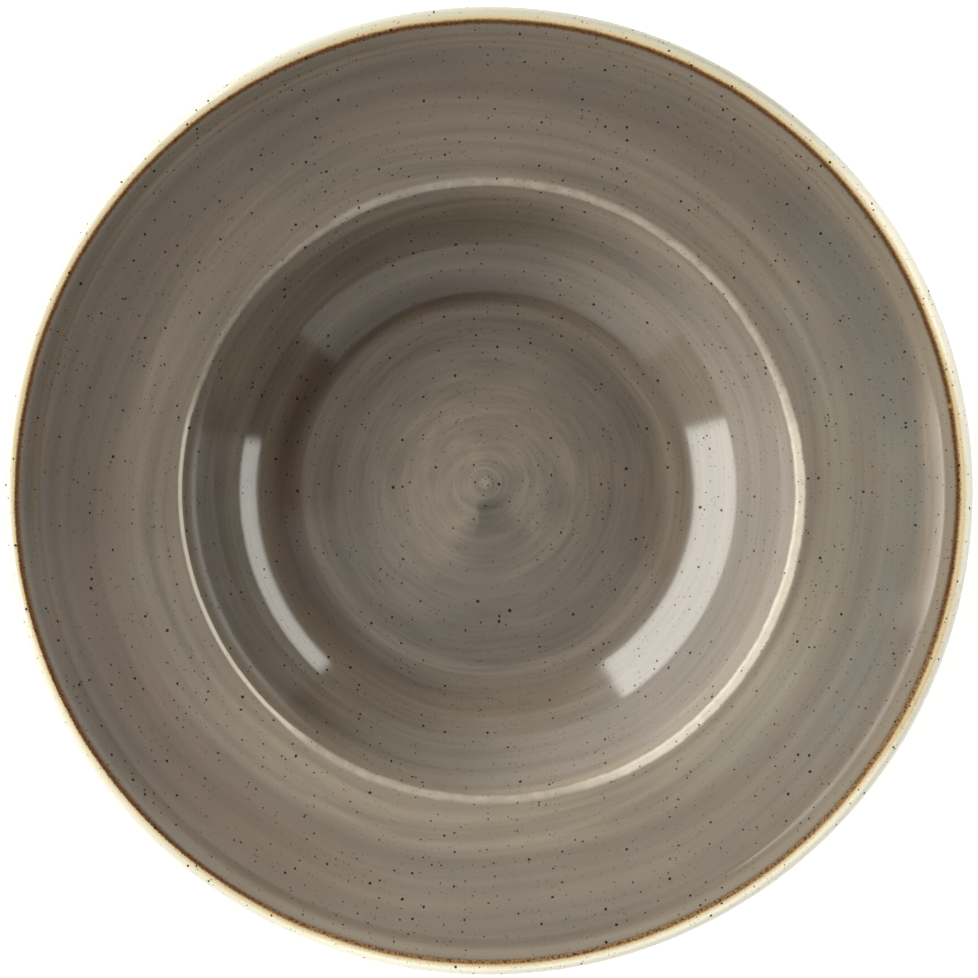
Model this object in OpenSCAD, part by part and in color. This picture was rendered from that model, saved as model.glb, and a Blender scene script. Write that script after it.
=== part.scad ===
// Rimmed soup plate: a turned stoneware body that carries its fired glaze coats.
// The finished outline is drawn once, as rounded paths. The clay is that outline less the
// coats, and each coat is a band of it, so all of them seat on each other face to face.

/* [Plate] */
// Diameter across the rolled edge
plate_d = 280; // [255:1:305]
// Height of the edge above the table
plate_h = 45; // [42:0.5:50]
// Diameter of the shoulder, where the rim drops into the well
well_d = 178; // [165:1:190]
// Depth of the well, from the shoulder to the middle of its floor
well_depth = 28; // [24:0.5:31]
// Diameter at which the floor of the well would meet its wall without the cove
floor_d = 120; // [112:1:130]
// Radius of the cove between the floor and the wall
cove_r = 50; // [30:1:56]
// Radius of the shoulder
shoulder_r = 5.5; // [3:0.25:8]

/* [Thickness] */
// Floor of the well, at its middle
floor_t = 5; // [4:0.25:6]
// Wall of the well
wall_t = 5; // [4:0.25:6]
// Rim
rim_t = 4.8; // [4:0.2:6]

/* [Edge] */
// Width of the raised edge, from the rim's hollow outwards
edge_w = 10.5; // [8.5:0.25:13]
// Height of the raised edge above the rim's hollow
edge_rise = 2; // [1.5:0.1:2.5]
// Width of the flat crown of the edge, before its bends are rounded
crown_w = 6.1; // [5:0.1:7]
// Radius of the hollow inside the raised edge
hollow_r = 8; // [5:0.5:12]
// Radius over the crown of the edge
crown_r = 16; // [10:0.5:18]
// Radius of the roll at the outside, on top
roll_r = 2.6; // [2:0.1:3]

/* [Foot] */
// Diameter of the foot ring, across the outside of its standing face
foot_d = 108; // [98:1:120]
// Height of the foot ring, from the table to the base inside it
foot_h = 3.5; // [2.5:0.1:4.5]
// Width of the foot ring at the table
foot_w = 4.2; // [3.4:0.1:6]
// Radius at the two edges of the standing face
foot_edge_r = 1; // [0.5:0.1:1.2]
// Radius where the foot ring meets the base inside it
foot_inner_r = 1.5; // [0.8:0.1:2]
// Radius where the foot ring meets the wall outside it
foot_outer_r = 2.5; // [1:0.25:4]
// Radius under the shoulder, where the wall meets the rim
under_shoulder_r = 12; // [6:0.5:18]
// Height above the table up to which the foot ring is wiped bare
wipe_h = 1.2; // [1:0.05:1.5]

/* [Glaze] */
// Thickness of the cream ground coat under the coloured coats
ground_t = 0.25; // [0.2:0.01:0.4]
// Thickness of the grey coats
colour_t = 0.25; // [0.15:0.01:0.4]
// Thickness of the brown line
line_t = 0.15; // [0.1:0.01:0.2]
// Width of the brown line
line_w = 1.6; // [1:0.1:2.4]
// Distance of the brown line's middle from the outside of the plate
line_inset = 3.9; // [3.2:0.1:4.8]
// Width of the light line at the shoulder, where the grey breaks away
break_w = 1.8; // [1:0.1:2.6]

/* [Hidden] */
$fn = 180;

// Rise of the well's floor towards its wall, in degrees
floor_rise = 3;
// Lean of the foot ring's sides, in degrees
foot_draft = 12;
// Where the floor starts to rise, as a share of the floor's radius
dish_share = 0.35;
// Largest gap between a drawn arc and the true one
arc_gap = 0.01;

// The whole coat, which the bare outer bands of the ground reach too
glaze_t = ground_t + colour_t;

plate_r = plate_d / 2;
well_r = well_d / 2;
floor_r = floor_d / 2;
foot_r = foot_d / 2;
floor_z = foot_h + floor_t;
shoulder_z = floor_z + well_depth;
hollow_z = plate_h - edge_rise;
// Height at which the roll turns down, where the coats of the face and the back meet
edge_z = plate_h - roll_r;

dish_x = dish_share * floor_r;
dish_r = dish_x / tan(floor_rise / 2);
floor_way = [cos(floor_rise), sin(floor_rise)];
floor_corner = [floor_r, floor_z + (floor_r - dish_x) * tan(floor_rise)];
shoulder_corner = [well_r, shoulder_z];
hollow_corner = [plate_r - edge_w, hollow_z];

// Along a path the plate is on the right, so the left normal points out of it.
function left(v) = [-v.y, v.x];
function unit(v) = v / norm(v);
function cross_of(a, b) = a.x * b.y - a.y * b.x;
function heading(path, i) = unit([path[i + 1].x - path[i].x, path[i + 1].y - path[i].y]);
function gap_to_next(path, i) = norm([path[i + 1].x - path[i].x, path[i + 1].y - path[i].y]);

// Point where two lines meet, each given by a point on it and its direction
function meet(p, u, q, v) = p + u * cross_of(q - p, v) / cross_of(u, v);

// A corner is [x, z, radius]. Its bend is the signed angle from one side to the next.
function bend(path, i) =
    let (u = heading(path, i - 1), v = heading(path, i))
    atan2(cross_of(u, v), u * v);

// Length that a rounded corner takes from both of its sides
function wanted_reach(path, i) =
    i == 0 || i == len(path) - 1 ? 0 : path[i][2] * tan(abs(bend(path, i)) / 2);

// The same, but two corners that want more than the side between them share it
function reach(path, i) =
    let (
        want = wanted_reach(path, i),
        before = gap_to_next(path, i - 1) / (want + wanted_reach(path, i - 1)),
        after = gap_to_next(path, i) / (want + wanted_reach(path, i + 1))
    )
    want * min(1, before, after);

// A rounded corner as [x, z, normal x, normal z] at each step of its arc
function arc(path, i) =
    let (
        turn = bend(path, i),
        side = sign(turn),
        along = heading(path, i - 1),
        taken = reach(path, i),
        radius = taken / tan(abs(turn) / 2),
        start = [path[i].x, path[i].y] - taken * along,
        centre = start + side * radius * left(along),
        steps = ceil(abs(turn) / (2 * acos(1 - min(arc_gap / radius, 1))))
    )
    [
        for (k = [0 : steps])
            let (
                a = atan2(along.y, along.x) + turn * k / steps,
                out = left([cos(a), sin(a)]),
                p = centre - side * radius * out
            )
            [p.x, p.y, out.x, out.y]
    ];

function path_end(path, i, out) = [path[i].x, path[i].y, out.x, out.y];

function rounded(path) =
    let (last = len(path) - 1)
    concat(
        [path_end(path, 0, left(heading(path, 0)))],
        [for (i = [1 : last - 1]) each arc(path, i)],
        [path_end(path, last, left(heading(path, last - 1)))]
    );

// The point of an outline at a given x, between the two of its points that x lies between
function at_x(line, x) =
    let (
        i = [
            for (k = [0 : len(line) - 2])
                if ((line[k].x - x) * (line[k + 1].x - x) <= 0 && line[k].x != line[k + 1].x) k
        ][0],
        share = (x - line[i].x) / (line[i + 1].x - line[i].x)
    )
    line[i] + share * (line[i + 1] - line[i]);

// The stretch of an outline from one x to another, in its own direction
function stretch(line, from, to) =
    concat(
        [at_x(line, from)],
        [for (p = line) if ((p.x - from) * (p.x - to) < 0) p],
        [at_x(line, to)]
    );

function sunk(line, depth) = [for (p = line) [p.x - depth * p[2], p.y - depth * p[3]]];
function reversed(points) = [for (i = [len(points) - 1 : -1 : 0]) points[i]];

// A stack of bands, each [from x, to x, depth], as one line at those depths
function terraced(line, bands) = [for (b = bands) each sunk(stretch(line, b[0], b[1]), b[2])];

// A coat over one stretch, between two depths
function coat(line, from, to, top, bottom) =
    let (part = stretch(line, from, to))
    concat(sunk(part, top), reversed(sunk(part, bottom)));

// The face, from the middle of the floor out to the edge
face = rounded([
    [0, floor_z, 0],
    [dish_x, floor_z, dish_r],
    [floor_corner.x, floor_corner.y, cove_r],
    [shoulder_corner.x, shoulder_corner.y, shoulder_r],
    [hollow_corner.x, hollow_corner.y, hollow_r],
    [plate_r - crown_w, plate_h, crown_r],
    [plate_r, plate_h, roll_r],
    [plate_r, edge_z, 0]
]);

// Underneath, the rim and the wall keep their thickness.
wall_way = unit(shoulder_corner - floor_corner);
rim_way = unit(hollow_corner - shoulder_corner);
under_wall = shoulder_corner - wall_t * left(wall_way);
under_rim = shoulder_corner - rim_t * left(rim_way);
under_shoulder = meet(under_wall, wall_way, under_rim, rim_way);

// The roll runs on under the edge, from its widest place to the rim's underside.
under_edge = meet([plate_r, 0], [0, 1], under_rim, rim_way);
under_bend = atan2(rim_way.x, rim_way.y);
under_roll_r = (edge_z - under_edge.y) / tan(under_bend / 2);

// Below the cove the back turns round the cove's own centre, so the wall keeps its
// thickness down to the heel, where it runs straight into the foot ring.
foot_lean = tan(foot_draft);
foot_inner = foot_r - foot_w;
cove_centre = meet(
    floor_corner + cove_r * left(floor_way), floor_way,
    floor_corner + cove_r * left(wall_way), wall_way
);
heel_r = cove_r + wall_t;
heel_x = foot_r + foot_h * foot_lean + foot_outer_r;
heel_slope = asin((heel_x - cove_centre.x) / heel_r);
heel_way = [cos(heel_slope), sin(heel_slope)];
heel = cove_centre - heel_r * left(heel_way);
under_cove = meet(heel, heel_way, under_wall, wall_way);
foot_root = meet([foot_r, 0], [foot_lean, 1], heel, heel_way);

// The back, from the edge in to the middle of the base
back = rounded([
    [plate_r, edge_z, 0],
    [under_edge.x, under_edge.y, under_roll_r],
    [under_shoulder.x, under_shoulder.y, under_shoulder_r],
    [under_cove.x, under_cove.y, heel_r],
    [foot_root.x, foot_root.y, foot_outer_r],
    [foot_r, 0, foot_edge_r],
    [foot_inner, 0, foot_edge_r],
    [foot_inner - foot_h * foot_lean, foot_h, foot_inner_r],
    [0, foot_h, 0]
]);

// Radii at which one coat ends and the next begins
break_inner = well_r - break_w / 2;
break_outer = well_r + break_w / 2;
line_inner = plate_r - line_inset - line_w / 2;
line_outer = plate_r - line_inset + line_w / 2;
wipe_outer = foot_r + wipe_h * foot_lean;
wipe_inner = foot_inner - wipe_h * foot_lean;

// How deep the cream ground lies under the face: flush where it is bare
ground_bands = [
    [0, break_inner, colour_t],
    [break_inner, break_outer, 0],
    [break_outer, line_inner, colour_t],
    [line_inner, line_outer, line_t],
    [line_outer, plate_r, 0]
];

// How deep the clay lies under the back: flush where the foot ring is bare
clay_bands = [
    [plate_r, wipe_outer, glaze_t],
    [wipe_outer, wipe_inner, 0],
    [wipe_inner, 0, glaze_t]
];

// A closed outline, turned round the plate's axis
module turned(points) {
    rotate_extrude() polygon(points);
}

// Fired stoneware: well, shoulder, rim, edge and foot ring, turned from one piece of clay
module clay_body() {
    color("#d8cfbd")
        turned(concat(sunk(face, glaze_t), terraced(back, clay_bands)));
}

// Cream ground coat on the face. It shows at the shoulder and over the edge.
module cream_glaze() {
    color("#efe3c4")
        turned(concat(terraced(face, ground_bands), reversed(sunk(face, glaze_t))));
}

// Cream coat underneath, from the edge in to the foot ring
module back_glaze() {
    color("#ece4d0")
        turned(coat(back, plate_r, wipe_outer, 0, glaze_t));
}

// Cream coat on the base, inside the foot ring
module base_glaze() {
    color("#ece4d0")
        turned(coat(back, wipe_inner, 0, 0, glaze_t));
}

// Grey coat on the floor and the wall of the well
module well_glaze() {
    color("#746b5f")
        turned(coat(face, 0, break_inner, 0, colour_t));
}

// Grey coat on the rim
module rim_glaze() {
    color("#857b6e")
        turned(coat(face, break_outer, line_inner, 0, colour_t));
}

// Brown line painted round the crown of the edge
module brown_line() {
    color("#6b4420")
        turned(coat(face, line_inner, line_outer, 0, line_t));
}

clay_body();
cream_glaze();
back_glaze();
base_glaze();
well_glaze();
rim_glaze();
brown_line();
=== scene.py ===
"""Looks of the rimmed soup plate: hand-banded grey glaze, brown line, cream edge and bare foot.

The outline is drawn as in the part's source, in millimetres, and every coat is a band of it.
"""
import math

import bpy
import numpy as np
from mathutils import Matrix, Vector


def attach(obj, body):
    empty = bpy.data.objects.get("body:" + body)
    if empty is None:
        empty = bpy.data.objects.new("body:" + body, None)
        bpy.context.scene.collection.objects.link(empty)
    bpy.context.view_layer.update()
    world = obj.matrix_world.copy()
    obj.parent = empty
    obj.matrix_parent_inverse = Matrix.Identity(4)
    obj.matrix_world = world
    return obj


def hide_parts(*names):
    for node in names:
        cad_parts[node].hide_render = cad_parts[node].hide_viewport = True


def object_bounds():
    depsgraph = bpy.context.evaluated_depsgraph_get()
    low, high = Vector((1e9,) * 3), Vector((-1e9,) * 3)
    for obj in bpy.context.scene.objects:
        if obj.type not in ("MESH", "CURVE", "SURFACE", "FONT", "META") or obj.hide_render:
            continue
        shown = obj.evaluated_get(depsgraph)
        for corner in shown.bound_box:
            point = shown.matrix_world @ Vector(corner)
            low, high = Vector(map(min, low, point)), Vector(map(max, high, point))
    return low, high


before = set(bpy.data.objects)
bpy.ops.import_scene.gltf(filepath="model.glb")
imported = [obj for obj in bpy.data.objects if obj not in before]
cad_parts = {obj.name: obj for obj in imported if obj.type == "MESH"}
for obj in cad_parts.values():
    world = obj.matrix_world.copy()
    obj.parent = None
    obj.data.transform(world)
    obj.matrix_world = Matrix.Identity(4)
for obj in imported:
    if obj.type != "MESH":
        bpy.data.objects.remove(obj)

CAD_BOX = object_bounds()
MM = 0.001

# Sizes of the plate, in millimetres. The first two come from the frame
PLATE_R = round(CAD_BOX[1][0] / MM, 3)
PLATE_H = round(CAD_BOX[1][2] / MM, 3)
WELL_R = 89.0
WELL_DEPTH = 28.0
FLOOR_R = 60.0
COVE_R = 50.0
SHOULDER_R = 5.5
UNDER_SHOULDER_R = 12.0
# Thickness of the clay with its coats
FLOOR_T = 5.0
WALL_T = 5.0
RIM_T = 4.8
# The raised and rolled edge, with the hollow inside it
EDGE_W = 10.5
EDGE_RISE = 2.0
CROWN_W = 6.1
HOLLOW_R = 8.0
CROWN_R = 16.0
ROLL_R = 2.6
# The foot ring, and how far up it is wiped bare
FOOT_R = 54.0
FOOT_H = 3.5
FOOT_W = 4.2
FOOT_EDGE_R = 1.0
FOOT_INNER_R = 1.5
FOOT_OUTER_R = 2.5
WIPE_H = 1.2
# Thickness of the cream ground, of the coat over it and of the painted line
GROUND_T = 0.25
COLOUR_T = 0.25
LINE_T = 0.15
# The painted line, how far its middle lies inside the edge, and the bare ring of cream at the shoulder
LINE_W = 1.6
LINE_INSET = 3.9
BREAK_W = 1.8
# Slopes, and where the floor's flat middle would meet its slope, as a share of its radius
FLOOR_RISE = math.radians(3)
FOOT_DRAFT = math.radians(12)
DISH_SHARE = 0.35

GLAZE_T = GROUND_T + COLOUR_T
FLOOR_Z = FOOT_H + FLOOR_T
SHOULDER_Z = FLOOR_Z + WELL_DEPTH
HOLLOW_Z = PLATE_H - EDGE_RISE
EDGE_Z = PLATE_H - ROLL_R
BREAK_INNER = WELL_R - BREAK_W / 2
BREAK_OUTER = WELL_R + BREAK_W / 2
LINE_R = PLATE_R - LINE_INSET
LINE_INNER = LINE_R - LINE_W / 2
LINE_OUTER = LINE_R + LINE_W / 2
FOOT_LEAN = math.tan(FOOT_DRAFT)
FOOT_INNER = FOOT_R - FOOT_W
WIPE_OUTER = FOOT_R + WIPE_H * FOOT_LEAN
WIPE_INNER = FOOT_INNER - WIPE_H * FOOT_LEAN

# How finely the outline and its turning are cut
SEGMENTS = 360
ARC_STEP = math.radians(2.5)
ROW_STEP = 1.2
TURN = np.linspace(0, 2 * math.pi, SEGMENTS, endpoint=False)
NOW = np.arange(SEGMENTS)
NEXT = np.roll(NOW, -1)
# Share of its real width that a hidden stretch gets on the texture map, and a piece's reach on that map
HIDDEN_SHARE = 0.05
MAP_SHARE = 0.495

# Fine waves of the finished surface: height, turn along x and along y (radians per millimetre) and start
STRAIGHT_WAVES = (
    (0.014, 0.083, 0.031, 1.1),
    (0.012, -0.047, 0.102, 4.0),
)
# The same round the axis: height, number of waves, turn outwards (radians per millimetre) and start
TURNED_WAVES = (
    (0.006, 3, 0.21, 0.4),
    (0.004, 2, 0.62, 2.0),
)
# Ripples beside the raised edge: height, number, radius, reach and the direction in which they are highest
RIPPLE_H = 0.016
RIPPLES = 36
RIPPLE_R = 129.5
RIPPLE_REACH = 3.5
RIPPLE_AZIMUTH = math.radians(295)
# How far below the outline the waves lie, and the widths over which they die out at the edge and the middle
WAVE_DEPTH = 0.045
CALM_EDGE_W = 6.0
CALM_MIDDLE_W = 12.0
# The sunk flank inside the raised edge: its depth by radius, its middle, and its half and soft width
SUNK_R = (116, 126, 127.2, 128.2, 129, 129.6, 130.2, 131, 131.8, 132.6)
SUNK_DEPTH = (0, 0.42, 0.46, 0.40, 0.30, 0.22, 0.17, 0.14, 0.03, 0)
SUNK_AZIMUTH = math.radians(357.5)
SUNK_HALF = math.radians(16.0)
SUNK_SOFT = math.radians(5.0)
# Step, in millimetres, over which a slope is measured
SLOPE_STEP = 0.05


def unit(v):
    return np.asarray(v, float) / np.linalg.norm(v)


def left(v):
    return np.array([-v[1], v[0]])


def cross(a, b):
    return a[0] * b[1] - a[1] * b[0]


def meet(p, u, q, v):
    """Point where two lines meet, each given by a point on it and its direction."""
    return np.asarray(p, float) + np.asarray(u) * cross(np.subtract(q, p), v) / cross(u, v)


def straight(start, end, out):
    """Rows between two points, both left out, with one normal."""
    steps = max(1, math.ceil(np.linalg.norm(end - start) / ROW_STEP))
    return [(*(start + (end - start) * k / steps), *out) for k in range(1, steps)]


def rounded(corners):
    """Rows [x, z, normal x, normal z] along an outline whose corners are (x, z, radius)."""
    points = [np.array(c[:2], float) for c in corners]
    ways = [unit(b - a) for a, b in zip(points, points[1:])]
    bends = [math.atan2(cross(a, b), a @ b) for a, b in zip(ways, ways[1:])]
    wanted = [0.0, *(c[2] * math.tan(abs(b) / 2) for c, b in zip(corners[1:], bends)), 0.0]
    rows = [(*points[0], *left(ways[0]))]
    for i, bend in enumerate(bends, start=1):
        before = np.linalg.norm(points[i] - points[i - 1]) / (wanted[i] + wanted[i - 1])
        after = np.linalg.norm(points[i + 1] - points[i]) / (wanted[i] + wanted[i + 1])
        reach = wanted[i] * min(1, before, after)
        radius = reach / math.tan(abs(bend) / 2)
        side = math.copysign(1, bend)
        start = points[i] - reach * ways[i - 1]
        centre = start + side * radius * left(ways[i - 1])
        rows += straight(np.array(rows[-1][:2]), start, left(ways[i - 1]))
        steps = math.ceil(max(abs(bend) / ARC_STEP, abs(bend) * radius / ROW_STEP))
        first = math.atan2(ways[i - 1][1], ways[i - 1][0])
        for k in range(steps + 1):
            angle = first + bend * k / steps
            out = left((math.cos(angle), math.sin(angle)))
            rows.append((*(centre - side * radius * out), *out))
    rows += straight(np.array(rows[-1][:2]), points[-1], left(ways[-1]))
    rows.append((*points[-1], *left(ways[-1])))
    return np.array(rows)


DISH_X = DISH_SHARE * FLOOR_R
FLOOR_CORNER = np.array([FLOOR_R, FLOOR_Z + (FLOOR_R - DISH_X) * math.tan(FLOOR_RISE)])
SHOULDER = np.array([WELL_R, SHOULDER_Z])
HOLLOW = np.array([PLATE_R - EDGE_W, HOLLOW_Z])


def face_outline():
    """The face, from the middle of the floor out to the edge."""
    return rounded([
        (0, FLOOR_Z, 0),
        (DISH_X, FLOOR_Z, DISH_X / math.tan(FLOOR_RISE / 2)),
        (*FLOOR_CORNER, COVE_R),
        (*SHOULDER, SHOULDER_R),
        (*HOLLOW, HOLLOW_R),
        (PLATE_R - CROWN_W, PLATE_H, CROWN_R),
        (PLATE_R, PLATE_H, ROLL_R),
        (PLATE_R, EDGE_Z, 0),
    ])


def back_outline():
    """The back, from the edge in to the middle of the base."""
    floor_way = np.array([math.cos(FLOOR_RISE), math.sin(FLOOR_RISE)])
    wall_way = unit(SHOULDER - FLOOR_CORNER)
    rim_way = unit(HOLLOW - SHOULDER)
    under_wall = SHOULDER - WALL_T * left(wall_way)
    under_rim = SHOULDER - RIM_T * left(rim_way)
    under_shoulder = meet(under_wall, wall_way, under_rim, rim_way)
    under_edge = meet((PLATE_R, 0), (0, 1), under_rim, rim_way)
    under_bend = math.atan2(rim_way[0], rim_way[1])
    under_roll_r = (EDGE_Z - under_edge[1]) / math.tan(under_bend / 2)
    cove_centre = meet(
        FLOOR_CORNER + COVE_R * left(floor_way), floor_way,
        FLOOR_CORNER + COVE_R * left(wall_way), wall_way,
    )
    heel_r = COVE_R + WALL_T
    heel_x = FOOT_R + FOOT_H * FOOT_LEAN + FOOT_OUTER_R
    heel_slope = math.asin((heel_x - cove_centre[0]) / heel_r)
    heel_way = np.array([math.cos(heel_slope), math.sin(heel_slope)])
    heel = cove_centre - heel_r * left(heel_way)
    under_cove = meet(heel, heel_way, under_wall, wall_way)
    foot_root = meet((FOOT_R, 0), (FOOT_LEAN, 1), heel, heel_way)
    return rounded([
        (PLATE_R, EDGE_Z, 0),
        (*under_edge, under_roll_r),
        (*under_shoulder, UNDER_SHOULDER_R),
        (*under_cove, heel_r),
        (*foot_root, FOOT_OUTER_R),
        (FOOT_R, 0, FOOT_EDGE_R),
        (FOOT_INNER, 0, FOOT_EDGE_R),
        (FOOT_INNER - FOOT_H * FOOT_LEAN, FOOT_H, FOOT_INNER_R),
        (0, FOOT_H, 0),
    ])


def at_x(line, x):
    """The row of an outline at a given x."""
    i = next(
        k for k in range(len(line) - 1)
        if (line[k, 0] - x) * (line[k + 1, 0] - x) <= 0 and line[k, 0] != line[k + 1, 0]
    )
    return line[i] + (x - line[i, 0]) / (line[i + 1, 0] - line[i, 0]) * (line[i + 1] - line[i])


def stretch(line, start, end):
    """The rows of an outline from one x to another."""
    inside = (line[:, 0] - start) * (line[:, 0] - end) < 0
    return np.vstack([at_x(line, start), line[inside], at_x(line, end)])


def bends_only(rows):
    """The rows that a hidden stretch needs: its two ends and where it has turned by a step."""
    kept = [rows[0]]
    for row in rows[1:-1]:
        if kept[-1][2:] @ row[2:] < math.cos(0.9 * ARC_STEP):
            kept.append(row)
    return np.array([*kept, rows[-1]])


def relief(x, y):
    """How far the finished surface stands off its outline, never above it, in millimetres."""
    r = np.hypot(x, y)
    a = np.arctan2(y, x)
    waves = np.zeros_like(r)
    for height, along_x, along_y, start in STRAIGHT_WAVES:
        waves += height * np.sin(along_x * x + along_y * y + start)
    for height, count, outwards, start in TURNED_WAVES:
        waves += height * np.sin(count * a + outwards * r + start)
    lip = np.exp(-((r - RIPPLE_R) / RIPPLE_REACH) ** 2) * (0.5 + 0.5 * np.cos(a - RIPPLE_AZIMUTH))
    waves += RIPPLE_H * lip * np.sin(RIPPLES * a + 1.3 * np.sin(5 * a))
    calm = np.clip((PLATE_R - r) / CALM_EDGE_W, 0, 1) * np.clip(r / CALM_MIDDLE_W, 0, 1)
    return calm * (waves - WAVE_DEPTH)


def sunk_flank(x, y):
    """How far the sunk flank lies below its outline, as a negative height in millimetres."""
    aside = np.abs((np.arctan2(y, x) - SUNK_AZIMUTH + 3 * math.pi) % (2 * math.pi) - math.pi)
    depth = np.interp(np.hypot(x, y), SUNK_R, SUNK_DEPTH)
    return -depth * np.clip((SUNK_HALF - aside) / SUNK_SOFT, 0, 1)


def slope_of(form, x, y):
    """The slope of a height given over x and y, as a vector at each point."""
    gx = (form(x + SLOPE_STEP, y) - form(x - SLOPE_STEP, y)) / (2 * SLOPE_STEP)
    gy = (form(x, y + SLOPE_STEP) - form(x, y - SLOPE_STEP)) / (2 * SLOPE_STEP)
    return np.stack([gx, gy, np.zeros_like(gx)], axis=1)


def around(v):
    """An outline's point or direction turned round the axis."""
    return np.stack([v[0] * np.cos(TURN), v[0] * np.sin(TURN), np.full(SEGMENTS, v[1])], axis=1)


class Row:
    """One outline point turned round the axis: its points, the way they face, its place on the map."""

    def __init__(self, at, out, sign, waved, span, starts):
        self.at = at
        self.single = at[0] < 1e-9
        self.span = span
        self.starts = starts
        self.points = around(at)
        facing = around(out)
        x, y = self.points[:, 0], self.points[:, 1]
        # Rows of the face, shown or hidden, sink with its flank
        for form, used in ((relief, waved), (sunk_flank, out[1] > 0)):
            if used:
                slope = slope_of(form, x, y)
                along = slope - (slope * facing).sum(axis=1)[:, None] * facing
                self.points = self.points + form(x, y)[:, None] * abs(out[1]) * facing
                facing = facing - along * abs(out[1])
                facing /= np.linalg.norm(facing, axis=1)[:, None]
        self.facing = facing * sign
        self.first = 0


class Run:
    """A stretch of an outline at one depth, walked outwards or back."""

    def __init__(self, line, start, end, depth, shown=True, waved=True, back=False):
        rows = stretch(line, start, end)[:: -1 if back else 1]
        if not shown:
            rows = bends_only(rows)
        self.out = rows[:, 2:]
        self.at = rows[:, :2] - depth * self.out
        self.sign = -1 if back else 1
        self.share = 1.0 if shown else HIDDEN_SHARE
        self.waved = waved and shown


def rows_of(runs):
    """The rows of a closed outline, with the running width that places them on the map."""
    rows = []
    span = 0.0
    for run in runs:
        for k, (at, out) in enumerate(zip(run.at, run.out)):
            if rows:
                span += np.linalg.norm(at - rows[-1].at) * (run.share if k else 1.0)
            rows.append(Row(at, out, run.sign, run.waved, span, k == 0))
    count = 0
    for row in rows:
        if row.single:
            row.points = row.points[:1]
        row.first = count
        count += len(row.points)
    return rows


def strip(a, b, b_span, wall):
    """The faces between two rows, with each corner's normal and place before scaling on the map."""
    facing_a, facing_b = a.facing, b.facing
    if wall:
        facing_a = facing_b = around(left(unit(b.at - a.at)))
    corners = [(a, NOW, facing_a, a.span), (b, NOW, facing_b, b_span),
               (b, NEXT, facing_b, b_span), (a, NEXT, facing_a, a.span)]
    if a.single:
        corners.pop(3)
    elif b.single:
        corners.pop(2)
    faces = np.stack([
        np.full(SEGMENTS, row.first) if row.single else row.first + k for row, k, _, _ in corners
    ], 1)
    normals = np.stack([facing[k] for _, k, facing, _ in corners], 1)
    places = np.stack([
        np.stack([span * np.cos(TURN[k]), span * np.sin(TURN[k])], 1) for _, k, _, span in corners
    ], 1)
    return faces.tolist(), normals.reshape(-1, 3), places.reshape(-1, 2)


def turned(name, runs):
    """A closed piece: its runs, joined by walls, turned round the plate's axis."""
    rows = rows_of(runs)
    pairs = [(a, b, b.span, b.starts) for a, b in zip(rows, rows[1:])]
    if not (rows[0].single and rows[-1].single):
        end = rows[-1].span + np.linalg.norm(rows[0].at - rows[-1].at)
        pairs.append((rows[-1], rows[0], end, True))
    strips = [
        strip(*p) for p in pairs
        if np.linalg.norm(p[1].at - p[0].at) > 1e-6 and not (p[0].single and p[1].single)
    ]
    faces = [f for s in strips for f in s[0]]
    places = np.vstack([s[2] for s in strips])
    mesh = bpy.data.meshes.new(name)
    mesh.from_pydata(np.vstack([row.points for row in rows]) * MM, [], faces)
    layer = mesh.uv_layers.new(name="OFBake")
    layer.data.foreach_set("uv", (0.5 + places * MAP_SHARE / np.abs(places).max()).ravel())
    mesh.shade_smooth()
    mesh.normals_split_custom_set(np.vstack([s[1] for s in strips]))
    piece = bpy.data.objects.new(name, mesh)
    bpy.context.scene.collection.objects.link(piece)
    return piece


def srgb(r, g, b):
    """A colour given as it is seen, from 0 to 255, in linear light."""
    seen = [v / 255 for v in (r, g, b)]
    return (*(v / 12.92 if v <= 0.04045 else ((v + 0.055) / 1.055) ** 2.4 for v in seen), 1.0)


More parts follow.
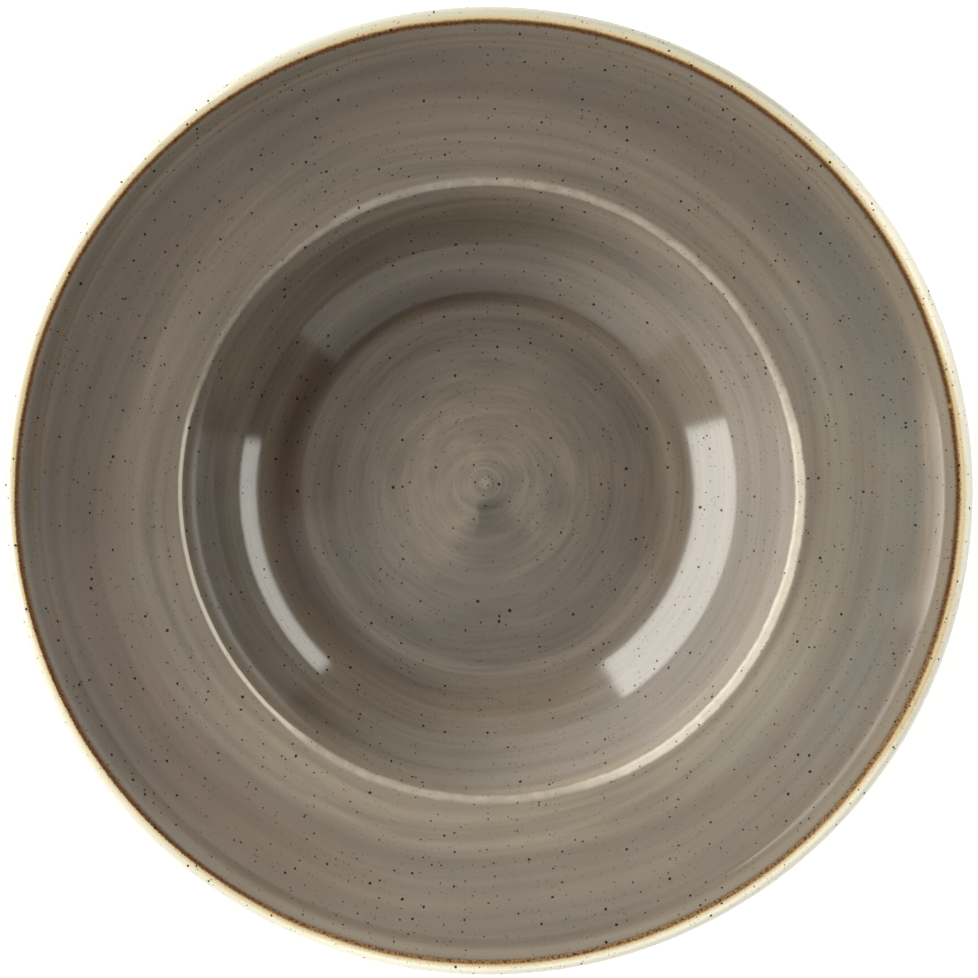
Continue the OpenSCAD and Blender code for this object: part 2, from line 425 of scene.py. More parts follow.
class Graph:
    """Adds nodes to one shader tree. A value given to them is a number, a vector or a socket."""

    def __init__(self, tree):
        self.tree = tree
        tree.nodes.clear()

    def put(self, socket, value):
        if isinstance(value, bpy.types.NodeSocket):
            self.tree.links.new(value, socket)
        else:
            socket.default_value = value

    def node(self, kind, inputs=None, **settings):
        node = self.tree.nodes.new(kind)
        for name, value in settings.items():
            setattr(node, name, value)
        for name, value in (inputs or {}).items():
            self.put(node.inputs[name], value)
        return node

    def math(self, operation, *values):
        node = self.tree.nodes.new("ShaderNodeMath")
        node.operation = operation
        for socket, value in zip(node.inputs, values):
            self.put(socket, value)
        return node.outputs[0]

    def add(self, first, *others):
        for other in others:
            first = self.math("ADD", first, other)
        return first

    def times(self, first, *others):
        for other in others:
            first = self.math("MULTIPLY", first, other)
        return first

    def minus(self, a, b):
        return self.math("SUBTRACT", a, b)

    def most(self, first, *others):
        for other in others:
            first = self.math("MAXIMUM", first, other)
        return first

    def ramp(self, value, low, high, at_low=0.0, at_high=1.0):
        """A smooth step of a value, from one level to another."""
        return self.node("ShaderNodeMapRange", {
            "Value": value, "From Min": low, "From Max": high, "To Min": at_low, "To Max": at_high,
        }, interpolation_type="SMOOTHSTEP").outputs[0]

    def hill(self, value, middle, reach):
        """1 at the middle, falling smoothly to 0 at the reach on both sides."""
        return self.ramp(self.math("ABSOLUTE", self.minus(value, middle)), reach, 0.0)

    def vector(self, operation, *values, out=0):
        node = self.tree.nodes.new("ShaderNodeVectorMath")
        node.operation = operation
        for socket, value in zip(node.inputs, values):
            self.put(socket, value)
        return node.outputs[out]

    def joined(self, x, y, z):
        return self.node("ShaderNodeCombineXYZ", {"X": x, "Y": y, "Z": z}).outputs[0]

    def split(self, vector):
        return self.node("ShaderNodeSeparateXYZ", {"Vector": vector}).outputs

    def scaled(self, vector, scale):
        return self.node("ShaderNodeVectorMath", {0: vector, "Scale": scale}, operation="SCALE").outputs[0]

    def noise(self, vector, scale, detail=2.0, roughness=0.5, out="Fac"):
        return self.node("ShaderNodeTexNoise", {
            "Vector": vector, "Scale": scale, "Detail": detail, "Roughness": roughness,
        }).outputs[out]

    def swing(self, vector, scale, detail=2.0):
        """Noise about zero, mostly from -0.3 to 0.3."""
        return self.minus(self.noise(vector, scale, detail), 0.5)

    def mix(self, share, a, b):
        return self.node("ShaderNodeMix", {0: share, 6: a, 7: b}, data_type="RGBA").outputs[2]


class PlatePlaces:
    """Where a shaded point lies on the plate, in millimetres."""

    def __init__(self, g):
        self.g = g
        self.point = g.scaled(g.node("ShaderNodeTexCoord").outputs["Object"], 1 / MM)
        x, y, _ = g.split(self.point)
        self.flat = g.joined(x, y, 0.0)
        self.r = g.vector("LENGTH", self.flat, out="Value")
        self.way = g.vector("NORMALIZE", self.flat)
        self.push = None

    def wobble(self):
        """A fine random push about zero, the same wherever it is used."""
        if self.push is None:
            random = self.g.noise(self.point, 1.6, 0.0, out="Color")
            self.push = self.g.vector("SUBTRACT", random, (0.5, 0.5, 0.5))
        return self.push

    def radius(self, x, y):
        """Distance from the upright line through (x, y)."""
        return self.g.vector("DISTANCE", self.flat, (x, y, 0.0), out="Value")

    def along(self, degrees, way=None):
        """Cosine of the angle between a point's direction from the axis and a given one."""
        a = math.radians(degrees)
        return self.g.vector("DOT_PRODUCT", way or self.way, (math.cos(a), math.sin(a), 0.0), out="Value")

    def sector(self, degrees, half, soft):
        """1 within the half width of a direction, falling to 0 over the soft one. From 180, 1 all round."""
        if half >= 180:
            return 1.0
        low = math.cos(math.radians(min(half + soft, 180)))
        return self.g.ramp(self.along(degrees), low, math.cos(math.radians(half)))

    def patch(self, degrees, half, soft, radius, reach):
        """1 in the middle of a stretch of ring, falling smoothly to 0 at its sides and ends."""
        return self.g.times(self.sector(degrees, half, soft), self.g.hill(self.r, radius, reach))

    def spot(self, x, y, reach, core=0.0):
        return self.g.ramp(self.radius(x, y), reach, core)


class Brush:
    """Polar places round the swirl of the brush, which pass into the plate's own further out."""

    def __init__(self, g, at):
        self.g = g
        self.at = at
        near = g.ramp(at.r, 55.0, 8.0)
        local = g.vector("SUBTRACT", at.flat, g.scaled((*SWIRL, 0.0), near))
        self.way = g.vector("NORMALIZE", local)
        reach = g.add(g.ramp(at.r, 4.0, 60.0, 0.0, 7.0), g.ramp(at.r, 86.0, 102.0, 0.0, 10.0))
        wander = g.times(g.swing(self.way, 0.9, 1.0), reach)
        self.r = g.add(g.vector("LENGTH", local, out="Value"), wander)
        self.turning = g.times(g.ramp(at.r, -6.0, 26.0), g.ramp(at.r, 50.0, 75.0, 1.0, 0.45))

    def streaks(self, turns, pitch, seed, detail=1.5):
        """Noise about zero in streaks that follow the brush, of a given pitch in millimetres."""
        g = self.g
        along = g.scaled(self.way, g.times(self.turning, turns))
        across = g.joined(seed, 0.0, g.times(self.r, 1 / pitch))
        return g.swing(g.vector("ADD", along, across), 1.0, detail)

    def arc(self, radius, degrees, half, width, drift):
        """1 along one brush mark, whose ring widens by the drift for each radian that it goes round."""
        g = self.g
        turned = self.at.along(degrees + 90, self.way)
        across = g.minus(self.at.r, g.times(turned, drift))
        return g.times(g.hill(across, radius, width), self.at.sector(degrees, 0.4 * half, 0.6 * half))


def specks(g, at, cell, size, share, soft):
    """Uneven round specks of up to a given radius, one in a share of the cells."""
    moved = g.vector("ADD", at.point, g.scaled(at.wobble(), 0.9 * size))
    found = g.node("ShaderNodeTexVoronoi", {"Vector": moved, "Scale": 1 / cell})
    chance = g.split(found.outputs["Color"])[0]
    radius = g.node("ShaderNodeMapRange", {
        "Value": chance, "From Min": 1 - share, "From Max": 1.0, "To Min": 0.2 * size, "To Max": size,
    }, clamp=False).outputs[0]
    kept = g.math("GREATER_THAN", chance, 1 - share)
    depth = g.minus(radius, g.times(found.outputs["Distance"], cell))
    return g.times(kept, g.ramp(depth, -soft / 2, soft / 2))


def speckle(g, at, colour, sizes):
    """A colour with iron specks over it."""
    for *size, share in sizes:
        colour = g.mix(g.times(specks(g, at, *size), share), colour, SPECK)
    return colour


def new_material(name):
    material = bpy.data.materials.new(name)
    material.use_nodes = True
    return material, Graph(material.node_tree)


def finished(material, g, shader):
    out = g.node("ShaderNodeOutputMaterial")
    g.tree.links.new(shader.outputs[0], out.inputs["Surface"])
    return material


def surface(material, g, colour, roughness, height, more):
    """Finishes a material with its colour, roughness, unevenness in millimetres and other inputs."""
    bump = g.node("ShaderNodeBump", {"Height": height, "Distance": MM})
    inputs = {"Base Color": colour, "Roughness": roughness, "Normal": bump.outputs[0]}
    return finished(material, g, g.node("ShaderNodeBsdfPrincipled", {**inputs, **more}))


# The grey glaze in linear light, where it lies at its usual thickness
GREY = (0.151, 0.120, 0.091)
CREAM = srgb(252, 246, 228)
# Darker creams for the edge, both painted shade: one where the key light falls strongest, so that the edge
# stays off white there, and one for the far side, which lies in shade
CREAM_DARKENED_UNDER_KEY = srgb(206, 198, 178)
CREAM_IN_PAINTED_SHADE = srgb(188, 183, 166)
BACK_CREAM = srgb(230, 223, 204)
STAINED = srgb(200, 178, 138)
BREAK = srgb(202, 192, 176)
DARK_BROWN = srgb(72, 40, 16)
AMBER = srgb(142, 110, 68)
SPECK = srgb(26, 20, 14)
CLAY = srgb(206, 190, 164)
TOASTED = srgb(168, 128, 88)
WHITE = (1.0, 1.0, 1.0, 1.0)
GLAZE_IOR = 1.6

# Where the glaze was brushed on from, and the notch where the brush was lifted
SWIRL = (-1.18, 2.2)
NOTCH = (-1.0, -6.5)
# Middle of the ring that the brown line makes, the radius at which it starts to run out into the cream, and
# the places where the brush missed: x, y and reach
LINE_MIDDLE = (-0.33, -0.35)
RUN_R = 135.9
LINE_GAPS = (
    (133.3, 24.5, 1.0),
    (88.8, -105.8, 0.9),
)

# Iron specks: size of the cells that may hold one, largest radius, share of the cells, softness of the
# outline (sizes in millimetres), and how much a speck covers
FACE_SPECKS = (
    (1.3, 0.29, 0.8, 0.12, 0.40),
    (2.1, 0.32, 0.8, 0.09, 0.85),
    (3.1, 0.46, 0.8, 0.09, 0.95),
)
BACK_SPECKS = (
    (2.6, 0.26, 0.5, 0.14, 0.6),
    (9.0, 0.5, 0.8, 0.16, 0.9),
)
CLAY_SPECKS = (
    (2.2, 0.24, 0.6, 0.12, 0.8),
)

# Rings of the swirl: radius, reach (millimetres), azimuth, half width, soft width (degrees), and how much
# lighter
SWIRL_RINGS = (
    (2.6, 0.7, 0.0, 180.0, 0.0, -0.12),
    (4.4, 0.8, 0.0, 180.0, 0.0, 0.13),
    (9.0, 1.0, 150.0, 80.0, 60.0, 0.13),
    (12.6, 1.3, 5.0, 40.0, 40.0, 0.13),
)

# Stretches of the raised edge's flank where the glaze is duller: azimuth, half width, soft width (degrees),
# radius and reach (millimetres)
DULL_RIGHT = (352.0, 30.0, 20.0, 129.8, 5.0)
DULL_FAR = (82.0, 60.0, 14.0, 130.9, 1.9)

# Rings of thicker and thinner glaze, the darker ones down the well's cove and wall also painted shade where
# the well shades itself: radius of the ring, its reach to each side, and how much lighter it is
RINGS = (
    (10.0, 12.0, 0.08),
    (38.0, 16.0, -0.16),
    (48.5, 9.5, -0.34),
    (58.3, 5.5, -0.24),
    (77.0, 9.0, -0.16),
    (124.0, 14.0, -0.12),
)

# Wide patches over the glaze, partly its own warm, cool and uneven tone and mostly painted light and shade:
# lighter where the floor, rim and edge face the light and just inside the shoulder, darker down the shaded
# side of the cove and wall and on the far side of the rim, a cool painted reflection on the right of the
# rim and a painted highlight on the edge's flank. Each is azimuth, half width, soft width (degrees),
# radius, reach (millimetres), tint
LIGHT_AND_TONE_PATCHES = (
    (285.0, 42.0, 40.0, 97.0, 15.0, (1.42, 1.42, 1.36)),
    (350.0, 30.0, 30.0, 102.0, 12.0, (1.06, 1.14, 1.17)),
    (305.0, 55.0, 35.0, 122.0, 14.0, (1.22, 1.22, 1.22)),
    (145.0, 85.0, 35.0, 117.0, 18.0, (0.76, 0.73, 0.73)),
    (0.0, 26.0, 24.0, 119.0, 14.0, (0.95, 1.05, 1.12)),
    (28.0, 10.0, 14.0, 119.0, 11.0, (0.82, 0.84, 0.86)),
    (42.0, 22.0, 18.0, 132.0, 5.5, (1.22, 1.22, 1.20)),
    (358.0, 11.0, 7.0, 128.2, 5.0, (1.36, 1.34, 1.34)),
    (222.0, 14.0, 30.0, 119.0, 18.0, (1.14, 1.00, 0.94)),
    (170.0, 50.0, 40.0, 14.0, 26.0, (1.26, 1.24, 1.24)),
    (275.0, 24.0, 24.0, 15.0, 13.0, (0.74, 0.72, 0.72)),
    (335.0, 55.0, 50.0, 39.0, 20.0, (0.78, 0.76, 0.76)),
    (160.0, 55.0, 60.0, 60.0, 9.0, (0.70, 0.64, 0.63)),
    (138.0, 22.0, 30.0, 62.0, 7.0, (0.74, 0.72, 0.72)),
    (0.0, 180.0, 1.0, 0.0, 44.0, (0.965, 1.0, 1.01)),
    (200.0, 22.0, 25.0, 82.0, 8.0, (0.66, 0.63, 0.62)),
    (157.0, 55.0, 25.0, 126.8, 4.4, (0.74, 0.74, 0.74)),
    (188.0, 20.0, 20.0, 131.0, 4.5, (0.88, 0.88, 0.88)),
    (185.0, 35.0, 25.0, 121.0, 9.0, (0.90, 0.90, 0.90)),
    (258.0, 24.0, 20.0, 128.0, 6.0, (0.90, 0.90, 0.90)),
    (108.0, 26.0, 20.0, 69.5, 4.5, (0.76, 0.74, 0.74)),
    (95.0, 40.0, 20.0, 86.8, 2.8, (1.25, 1.25, 1.25)),
    (325.0, 45.0, 20.0, 87.6, 1.8, (1.25, 1.25, 1.25)),
    (310.0, 32.0, 25.0, 22.0, 8.5, (0.84, 0.84, 0.84)),
    (162.0, 48.0, 25.0, 133.5, 2.6, (0.68, 0.66, 0.65)),
    (163.0, 12.0, 10.0, 69.5, 5.0, (0.74, 0.72, 0.72)),
    (108.0, 22.0, 20.0, 83.0, 6.0, (0.84, 0.83, 0.82)),
    (230.0, 18.0, 18.0, 77.0, 5.5, (1.20, 1.20, 1.20)),
    (150.0, 14.0, 14.0, 77.0, 5.5, (1.16, 1.16, 1.16)),
    (0.0, 180.0, 1.0, 49.0, 9.0, (1.04, 1.0, 0.96)),
    (310.0, 60.0, 30.0, 133.8, 3.0, (1.3, 1.3, 1.25)),
    (140.0, 55.0, 20.0, 130.6, 2.6, (1.17, 1.17, 1.17)),
    (165.0, 22.0, 20.0, 131.2, 2.6, (1.17, 1.17, 1.17)),
)

# Brush marks that stand out: radius, azimuth, half length (degrees), half width, drift (lengths in
# millimetres), and how much lighter
MARKS = (
    (97.5, 50.0, 60.0, 1.7, 0.0, 0.08),
    (101.8, 35.0, 50.0, 1.0, 0.6, 0.08),
    (99.6, 60.0, 70.0, 0.9, 0.0, -0.07),
    (107.4, 65.0, 45.0, 2.0, 1.0, 0.12),
    (104.5, 90.0, 80.0, 1.3, 0.8, -0.09),
    (103.6, 158.0, 34.0, 1.8, -7.0, 0.12),
    (100.0, 190.0, 30.0, 1.6, -6.0, -0.10),
    (105.5, 228.0, 30.0, 2.0, -8.0, 0.13),
    (99.0, 262.0, 40.0, 1.6, -7.5, -0.10),
    (101.0, 282.0, 34.0, 1.8, -8.0, 0.13),
    (93.5, 315.0, 55.0, 1.4, 0.0, -0.14),
    (83.2, 100.0, 70.0, 1.3, -3.0, 0.22),
    (79.0, 205.0, 45.0, 1.3, -3.2, 0.18),
    (81.0, 150.0, 60.0, 0.9, -3.0, -0.11),
    (51.8, 245.0, 60.0, 1.2, 0.0, 0.10),
    (53.6, 235.0, 50.0, 0.8, 0.0, 0.08),
    (49.7, 255.0, 55.0, 0.8, 0.0, -0.08),
    (25.2, 320.0, 40.0, 1.0, 0.5, 0.11),
    (27.4, 318.0, 30.0, 1.6, 0.0, -0.14),
    (22.0, 175.0, 60.0, 1.2, 1.2, 0.08),
    (30.5, 25.0, 55.0, 1.3, 1.0, -0.07),
    (16.5, 60.0, 60.0, 0.9, 0.8, 0.08),
)


def brushed(g, at, brush):
    """How light the glaze is, about 1: rings, streaks of three widths and the marks that stand out."""
    # Rings of glaze; the darker ones in the cove and wall are partly painted shade
    rings = (g.times(g.hill(at.r, radius, reach), share) for radius, reach, share in RINGS)
    light = g.add(1.0, *rings)
    calmer = g.ramp(at.r, 24.0, 44.0, 1.0, 0.74)
    fading = g.ramp(at.r, 106.0, 120.0, 1.55, 0.85)
    fine = g.times(brush.streaks(2.3, 0.9, 3.0), 0.42, calmer, g.ramp(at.r, 84.0, 122.0, 1.0, 0.4))
    middling = g.times(brush.streaks(1.8, 3.2, 11.0), 0.50)
    broad = g.times(brush.streaks(1.2, 8.5, 23.0), 0.34)
    outer = g.add(1.0, g.times(g.ramp(at.r, 64.0, 80.0), g.minus(fading, 1.0)))
    light = g.add(light, fine, g.times(g.add(middling, broad), calmer, outer))
    for *mark, share in MARKS:
        light = g.add(light, g.times(brush.arc(*mark), share))
    return light


def swirl(g, at):
    """How much lighter the glaze is in the swirl: its dot, the rings round it and the notch."""
    r = g.add(at.radius(*SWIRL), g.times(g.swing(at.flat, 0.12, 0.0), 1.2))
    light = g.times(g.ramp(r, 2.1, 1.0), 0.34)
    for radius, reach, azimuth, half, soft, share in SWIRL_RINGS:
        light = g.add(light, g.times(g.hill(r, radius, reach), at.sector(azimuth, half, soft), share))
    x, y, _ = g.split(at.flat)
    bend = g.add(-4.4, g.times(g.hill(y, -8.5, 7.5), 1.9), g.times(g.swing(at.flat, 0.5, 1.0), 1.2))
    right_of_edge = g.minus(x, g.add(bend, g.times(g.minus(y, -2.6), 0.10)))
    below_edge = g.minus(g.add(-1.4, g.times(x, 0.30)), y)
    notch = g.times(
        g.ramp(right_of_edge, -0.3, 1.0), g.ramp(below_edge, -0.5, 2.2),
        g.ramp(at.radius(*NOTCH), 11.5, 0.5), -0.40,
    )
    shade = g.times(at.spot(9.0, -3.0, 15.0, 3.0), -0.08)
    glow = g.times(at.spot(-8.5, -13.0, 10.0, 4.0), 0.10)
    return g.add(light, notch, shade, glow)


def grey_glaze(g, at):
    """The grey glaze's colour, with painted light and shade in its rings and patches."""
    brush = Brush(g, at)
    light = g.add(brushed(g, at, brush), swirl(g, at), g.times(g.swing(at.point, 0.035, 3.0), 0.26))
    warm = g.swing(at.point, 0.05, 2.0)
    tint_and_light = g.joined(g.add(1.0, g.times(warm, 0.09)), 1.0, g.add(1.0, g.times(warm, -0.08)))
    # Patches of painted light, shade and reflection, with some of the glaze's own tone
    for azimuth, half, soft, radius, reach, share in LIGHT_AND_TONE_PATCHES:
        mask = at.patch(azimuth, half, soft, radius, reach)
        tint_and_light = g.vector("MULTIPLY", tint_and_light, g.mix(mask, WHITE, (*share, 1)))
    return g.scaled(g.vector("MULTIPLY", tint_and_light, GREY), light)


def shoulder_line(g, at):
    """Share of cream that shows where the grey runs thin over the shoulder, made wider and lighter as a
    painted highlight on the two stretches where the shoulder catches the lamps' reflections.
    """
    # The wide and thin stretches are a painted highlight: more and lighter cream where the shoulder
    # reflects the lamps
    wide = at.sector(334.0, 27.0, 26.0)
    thin = at.sector(198.0, 27.0, 12.0)
    narrow = g.times(at.sector(150.0, 20.0, 16.0), g.minus(1.0, thin))
    fray = g.add(g.times(g.swing(at.point, 0.9), 0.4), g.times(g.swing(at.point, 0.2, 1.0), 0.6))
    r = g.add(at.r, g.times(fray, g.add(1.0, g.times(thin, -0.7))))
    start = g.add(WELL_R - 0.95, g.times(wide, 0.5), g.times(thin, 0.65))
    full = g.add(WELL_R - 0.05, g.times(wide, 0.4), g.times(thin, 0.15))
    end = g.add(WELL_R + 2.5, g.times(wide, 0.75), g.times(thin, -1.15), g.times(narrow, -1.15))
    fall = g.add(1.8, g.times(wide, -0.7), g.times(thin, -1.05), g.times(narrow, -0.9))
    share = g.add(0.36, g.times(wide, 0.48), g.times(thin, 0.64), g.times(narrow, -0.07))
    share = g.add(share, g.times(g.swing(at.point, 0.25), 0.5))
    return g.times(g.ramp(r, start, full), g.ramp(g.minus(end, r), 0.0, fall), share)


def over_line(g, at, grey):
    """The glaze with the brown line over it and the cream outside it, painted darker on two sides as shade,
    and how dark the line is.
    """
    lean = at.sector(205.0, 14.0, 18.0)
    grainy = at.sector(292.0, 40.0, 18.0)
    slow = at.sector(350.0, 14.0, 16.0)
    fast = at.sector(220.0, 90.0, 25.0)
    fray = g.add(g.times(g.swing(at.way, 7.0), 0.5), g.times(g.swing(at.point, 1.6, 3.0), 0.85))
    off = g.add(at.radius(*LINE_MIDDLE), fray, -RUN_R, g.times(lean, -0.7))
    run = g.times(off, g.add(1.0, g.times(lean, 1.1), g.times(fast, 0.25)))
    gap = g.most(*(at.spot(*place, 0.4) for place in LINE_GAPS))
    grain = g.ramp(g.noise(at.point, 1.25, 2.0, 0.7), 0.58, 0.47)
    loose = g.add(0.2, g.times(grainy, g.ramp(off, -0.85, -0.35), 0.7))
    thinned = g.most(gap, g.times(loose, g.add(0.1, g.times(grain, 0.9))))
    core = g.mix(g.times(thinned, 0.9), DARK_BROWN, AMBER)
    # Painted shade on the cream edge: darker on the left under the key light and on the far side
    cream = g.mix(at.sector(170.0, 55.0, 35.0), CREAM, CREAM_DARKENED_UNDER_KEY)
    cream = g.mix(at.sector(86.0, 22.0, 34.0), cream, CREAM_IN_PAINTED_SHADE)
    colour = g.mix(g.ramp(run, 0.15, 0.90), core, AMBER)
    colour = g.mix(g.ramp(run, 0.55, 1.30), colour, STAINED)
    colour = g.mix(g.ramp(run, g.add(1.1, g.times(slow, 0.8)), 2.9), colour, cream)
    inner = g.add(-1.15, g.times(lean, -0.9))
    covered = g.ramp(g.minus(off, inner), 0.0, g.times(inner, -0.85))
    dark = g.times(covered, g.ramp(run, 0.9, 0.0))
    return g.mix(covered, grey, colour), dark


def peel(g, at):
    """The glaze's slight unevenness, in millimetres."""
    soft = g.times(g.swing(at.point, 0.38, 1.0), 0.005)
    return g.add(soft, g.times(g.swing(at.point, 1.6, 0.0), 0.0008))


def dulled(g, at):
    """How much rougher and how much duller the glaze is along the shoulder and on the edge's flank."""
    right = at.patch(*DULL_RIGHT)
    far = at.patch(*DULL_FAR)
    left_more = g.add(0.25, g.times(at.sector(198.0, 45.0, 20.0), 0.5))
    shoulder = g.times(g.hill(at.r, WELL_R - 0.9, 2.6), left_more)
    rougher = g.add(g.times(g.hill(at.r, WELL_R - 1.2, 3.4), 0.45), g.times(right, 0.24))
    return rougher, g.add(shoulder, g.times(right, 0.3), g.times(far, 0.6))


def face_glaze():
    """The face: grey banded glaze, cream where it breaks and over the edge, brown line, specks, with
    painted light and shade in the grey, a painted highlight at the shoulder and painted shade on the edge's
    cream.
    """
    material, g = new_material("face_glaze")
    at = PlatePlaces(g)
    grey = g.mix(shoulder_line(g, at), grey_glaze(g, at), BREAK)
    colour, dark = over_line(g, at, grey)
    speckled = g.most(*(g.times(specks(g, at, *size), share) for *size, share in FACE_SPECKS))
    colour = g.mix(speckled, colour, SPECK)
    rougher, duller = dulled(g, at)
    roughness = g.add(0.08, g.times(g.noise(at.point, 0.12), 0.04), rougher)
    unpainted = g.minus(1.0, g.times(g.most(dark, speckled), 0.85))
    shine = g.times(0.5, g.minus(1.0, duller), unpainted)
    glaze = {"IOR": GLAZE_IOR, "Specular IOR Level": shine}
    return surface(material, g, colour, roughness, peel(g, at), glaze)


def back_glaze():
    """The cream coat underneath, with faint turning rings, few specks and a stained edge at the foot."""
    material, g = new_material("back_glaze")
    at = PlatePlaces(g)
    _, _, z = g.split(at.point)
    rings = g.swing(g.joined(g.times(at.r, 0.55), 0.0, 0.0), 1.0)
    light = g.add(1.0, g.times(rings, 0.10), g.times(g.swing(at.point, 0.045, 3.0), 0.16))
    colour = g.scaled(BACK_CREAM[:3], light)
    thin = g.ramp(g.add(z, g.times(g.swing(at.point, 0.3), 2.0)), WIPE_H + 1.6, WIPE_H)
    near_foot = g.hill(at.r, FOOT_R - FOOT_W / 2, 9.0)
    colour = g.mix(g.times(thin, near_foot, 0.7), colour, STAINED)
    colour = speckle(g, at, colour, BACK_SPECKS)
    roughness = g.add(0.10, g.times(g.noise(at.point, 0.12), 0.05))
    height = g.add(peel(g, at), g.times(rings, 0.02))
    return surface(material, g, colour, roughness, height, {"IOR": GLAZE_IOR})


def bare_clay():
    """The wiped foot: matt stoneware with fine sand and turning lines, toasted where the glaze ends."""
    material, g = new_material("bare_clay")
    at = PlatePlaces(g)
    _, _, z = g.split(at.point)
    sand = g.swing(at.point, 2.4, 3.0)
    rings = g.swing(g.joined(g.times(at.r, 3.0), 0.0, 0.0), 1.0)
    colour = g.scaled(CLAY[:3], g.add(1.0, g.times(sand, 0.5), g.times(g.swing(at.point, 0.12), 0.4)))
    toasted = g.ramp(g.add(z, g.times(g.swing(at.point, 0.8), 0.6)), 0.3, WIPE_H)
    colour = g.mix(g.times(toasted, 0.75), colour, TOASTED)
    colour = speckle(g, at, colour, CLAY_SPECKS)
    height = g.add(g.times(sand, 0.05), g.times(rings, 0.06))
    return surface(material, g, colour, g.add(0.82, g.times(sand, 0.2)), height, {})


def make_plate():
    face = face_outline()
    back = back_outline()
    on_face = face_glaze()
    on_back = back_glaze()
    bare = bare_clay()
    plan = {
        "clay": ("clay_body", "clay", bare, [
            Run(face, 0, PLATE_R, GLAZE_T, shown=False),
            Run(back, PLATE_R, WIPE_OUTER, GLAZE_T, shown=False),
            Run(back, WIPE_OUTER, WIPE_INNER, 0, waved=False),
            Run(back, WIPE_INNER, 0, GLAZE_T, shown=False),
        ]),
        "ground_coat": ("cream_glaze", "cream_glaze", on_face, [
            Run(face, 0, BREAK_INNER, COLOUR_T, shown=False),
            Run(face, BREAK_INNER, BREAK_OUTER, 0),
            Run(face, BREAK_OUTER, LINE_INNER, COLOUR_T, shown=False),
            Run(face, LINE_INNER, LINE_OUTER, LINE_T, shown=False),
            Run(face, LINE_OUTER, PLATE_R, 0),
            Run(face, 0, PLATE_R, GLAZE_T, shown=False, back=True),
        ]),
        "back_coat": ("back_glaze", "back_glaze", on_back, [
            Run(back, PLATE_R, WIPE_OUTER, 0),
            Run(back, PLATE_R, WIPE_OUTER, GLAZE_T, shown=False, back=True),
        ]),
        "base_coat": ("base_glaze", "back_glaze", on_back, [
            Run(back, WIPE_INNER, 0, 0),
            Run(back, WIPE_INNER, 0, GLAZE_T, shown=False, back=True),
        ]),
        "well_coat": ("well_glaze", "grey_glaze", on_face, [
            Run(face, 0, BREAK_INNER, 0),
            Run(face, 0, BREAK_INNER, COLOUR_T, shown=False, back=True),
        ]),
        "rim_coat": ("rim_glaze", "grey_glaze", on_face, [
            Run(face, BREAK_OUTER, LINE_INNER, 0),
            Run(face, BREAK_OUTER, LINE_INNER, COLOUR_T, shown=False, back=True),
        ]),
        "painted_line": ("brown_line", "brown_oxide", on_face, [
            Run(face, LINE_INNER, LINE_OUTER, 0),
            Run(face, LINE_INNER, LINE_OUTER, LINE_T, shown=False, back=True),
        ]),
    }
    for name, (node, slot, material, runs) in plan.items():
        piece = turned(name, runs)
        piece.data.materials.append(material)
        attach(piece, "root")
        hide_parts(node)


# The floor: its reach and how far it lies below the foot (millimetres), its grey, its own glow where it is
# seen, and how many of the plate's segments one of its sides takes
STAGE_REACH = 15000.0
STAGE_DROP = 0.05
STAGE_GREY = (0.6, 0.6, 0.6, 1.0)
STAGE_GLOW = 0.7
STAGE_STEP = 10


def make_floor():
    """A wide pale floor that keeps the plate's shadow."""
    reach = STAGE_REACH * MM
    corners = [(reach * math.cos(a), reach * math.sin(a), -STAGE_DROP * MM) for a in TURN[::STAGE_STEP]]
    mesh = bpy.data.meshes.new("floor")
    mesh.from_pydata(corners, [], [list(range(len(corners)))])
    floor = bpy.data.objects.new("floor", mesh)
    bpy.context.scene.collection.objects.link(floor)
    material, g = new_material("pale_floor")
    path = g.node("ShaderNodeLightPath").outputs
    seen = g.most(path["Is Camera Ray"], path["Is Glossy Ray"], path["Is Transmission Ray"])
    matt = g.node("ShaderNodeBsdfDiffuse", {"Color": STAGE_GREY})
    glow = g.node("ShaderNodeEmission", {"Color": WHITE, "Strength": g.times(seen, STAGE_GLOW)})
    both = g.node("ShaderNodeAddShader", {0: matt.outputs[0], 1: glow.outputs[0]})
    mesh.materials.append(finished(material, g, both))


# Soft panels round the plate: azimuth of the middle, half width and soft width across, then the angles from
# straight up at which it starts and ends, their soft width (all in degrees), and its strength
PANELS = {
    "key": (160.0, 37.0, 2.0, 46.8, 79.0, 2.0, 6.9),
    "strip": (17.5, 29.5, 2.0, 67.0, 80.0, 2.0, 5.2),
    "near": (269.7, 50.3, 2.0, 42.0, 79.0, 2.0, 0.80),
    "far": (80.0, 73.0, 12.0, 0.0, 48.0, 12.0, 0.50),
    "above": (0.0, 180.0, 1.0, -10.0, 33.0, 4.0, 0.55),
    "low": (157.0, 70.0, 100.0, 80.0, 92.0, 6.0, 2.4),
    "spill": (178.0, 62.0, 20.0, 42.0, 80.0, 4.0, 0.45),
    "low_spill": (105.0, 25.0, 30.0, 62.0, 80.0, 4.0, 0.75),
}
# Strength of the light from everywhere else, and the colour of all the light
FILL = 0.02
LIGHT_COLOUR = (0.99, 1.0, 0.95, 1.0)


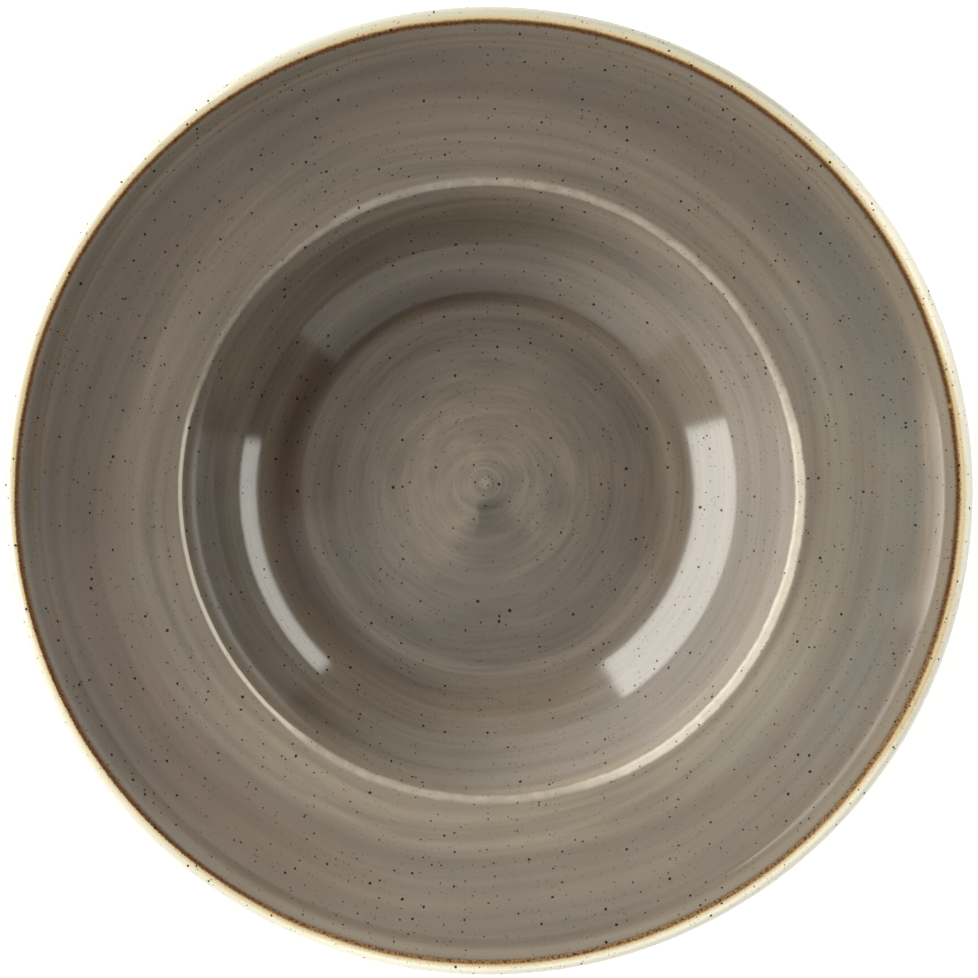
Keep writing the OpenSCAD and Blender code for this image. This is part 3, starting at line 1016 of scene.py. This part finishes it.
def make_world():
    """White to the camera; dark with soft panels for the light and the reflections."""
    world = bpy.data.worlds.new("studio")
    bpy.context.scene.world = world
    world.use_nodes = True
    g = Graph(world.node_tree)
    x, y, z = g.split(g.node("ShaderNodeTexCoord").outputs["Generated"])
    flat = g.most(g.math("SQRT", g.add(g.times(x, x), g.times(y, y))), 1e-4)
    polar = g.times(g.math("ARCCOSINE", z), 180 / math.pi)
    light = FILL
    for azimuth, half, soft_across, low, high, soft, strength in PANELS.values():
        a = math.radians(azimuth)
        facing = g.math("DIVIDE", g.add(g.times(x, math.cos(a)), g.times(y, math.sin(a))), flat)
        aside = g.times(g.math("ARCCOSINE", facing), 180 / math.pi)
        across = g.ramp(aside, half + soft_across / 2, half - soft_across / 2)
        upper = g.ramp(polar, low - soft / 2, low + soft / 2)
        lower = g.ramp(polar, high + soft / 2, high - soft / 2)
        light = g.add(light, g.times(across, upper, lower, strength))
    camera = g.node("ShaderNodeLightPath").outputs["Is Camera Ray"]
    strength = g.add(g.times(g.minus(1.0, camera), light), camera)
    colour = g.mix(camera, LIGHT_COLOUR, WHITE)
    back = g.node("ShaderNodeBackground", {"Color": colour, "Strength": strength})
    out = g.node("ShaderNodeOutputWorld")
    g.tree.links.new(back.outputs[0], out.inputs["Surface"])


# The camera looks straight down from far above, as a long lens did. Half of the frame is measured at the
# height of the plate's edge
CAMERA_HEIGHT = 2500.0
HALF_FRAME = 141.27
CAMERA_X = 0.116
CAMERA_Y = 0.49
SENSOR = 36.0
# How far the camera sees, in metres
FAR_CLIP = 50.0


def make_camera():
    data = bpy.data.cameras.new("camera")
    data.sensor_width = SENSOR
    data.lens = SENSOR / 2 * CAMERA_HEIGHT / HALF_FRAME
    data.clip_end = FAR_CLIP
    camera = bpy.data.objects.new("camera", data)
    camera.location = (CAMERA_X * MM, CAMERA_Y * MM, (PLATE_H + CAMERA_HEIGHT) * MM)
    bpy.context.scene.collection.objects.link(camera)
    bpy.context.scene.camera = camera


make_plate()
make_floor()
make_world()
make_camera()
bpy.context.scene.view_settings.view_transform = "Standard"

bpy.context.view_layer.update()
